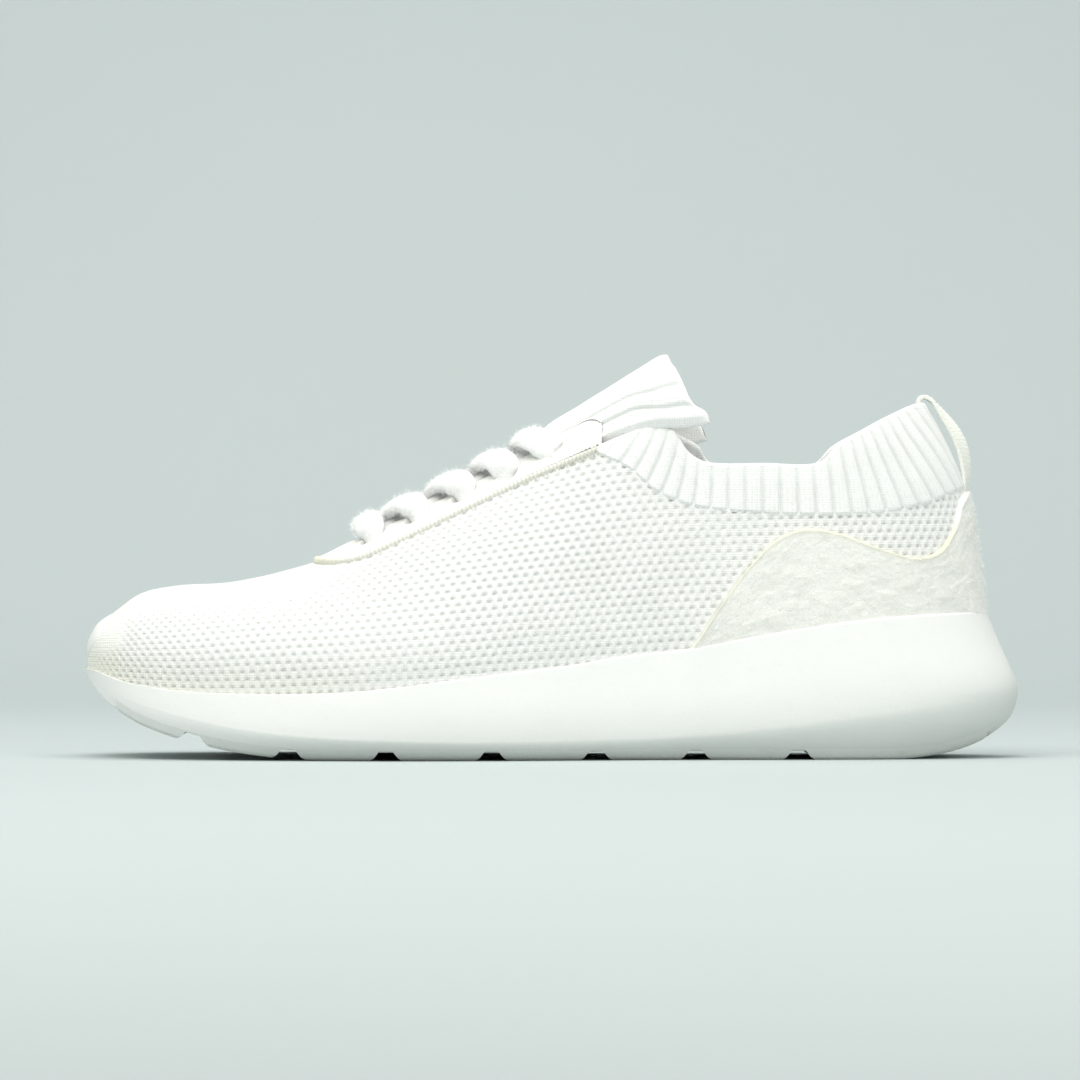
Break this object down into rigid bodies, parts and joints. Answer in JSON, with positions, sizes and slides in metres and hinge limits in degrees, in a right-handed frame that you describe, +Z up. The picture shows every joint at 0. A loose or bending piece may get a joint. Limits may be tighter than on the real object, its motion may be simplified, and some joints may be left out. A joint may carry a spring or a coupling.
{
  "type": "running shoe",
  "caption": "Low lace-up running shoe for the left foot: knitted upper, ribbed sock collar and tongue, heel pull tab and one-piece foam sole with tread pads",
  "frame": {"origin": "on the ground under the middle of the shoe's outer box", "axes": "+X towards the heel (the toe points along -X), +Y towards the inner (medial) side, +Z up"},
  "size_m": [0.2951, 0.1065, 0.1281],
  "materials": {
    "knit": "white one-piece knit with staggered open holes",
    "rib_knit": "white ribbed knit",
    "lining_cloth": "white brushed lining cloth",
    "eyestay": "smooth white coated microfibre",
    "suede": "rough napped white microsuede",
    "toe_film": "thin satin white film",
    "foam": "white moulded foam with a fine skin",
    "tread": "white moulded rubber",
    "insole_foam": "white open-cell foam",
    "board": "off-white non-woven board",
    "stiffener": "cream thermoplastic sheet",
    "lace": "fluffy white braided lace",
    "lace_tip": "clear-white plastic tip",
    "webbing": "narrow off-white woven tape"
  },
  "bodies": {
    "shoe": {"collar_rib": "rib_knit", "eyestay": "eyestay", "eyestay_backing": "board", "heel_counter": "stiffener", "heel_overlay": "suede", "insole_cloth": "lining_cloth", "insole_foam": "insole_foam", "knit_upper": "knit", "lace": "lace", "lace_tip_lateral": "lace_tip", "lace_tip_medial": "lace_tip", "lining": "lining_cloth", "midsole": "foam", "outsole_pad_1": "tread", "outsole_pad_2": "tread", "outsole_pad_3": "tread", "outsole_pad_4": "tread", "outsole_pad_5": "tread", "outsole_pad_6": "tread", "outsole_pad_7": "tread", "outsole_pad_8": "tread", "strobel_board": "board", "toe_cap": "toe_film", "toe_puff": "stiffener", "tongue_base": "rib_knit"},
    "tongue": {"tongue_top": "rib_knit"},
    "tab": {"pull_tab": "webbing"}
  },
  "joints": [
    {"name": "tongue_fold", "type": "hinge", "parent": "shoe", "child": "tongue", "pos_m": [0.006, 0, 0.1], "axis": [0, -1, 0], "range_deg": [0, 28]},
    {"name": "pull_tab_swing", "type": "hinge", "parent": "shoe", "child": "tab", "pos_m": [0.1326, 0, 0.087], "axis": [-0.5269, 0, 0.8499], "range_deg": [-20, 20], "stiffness_Nm_per_rad": 0.002}
  ]
}
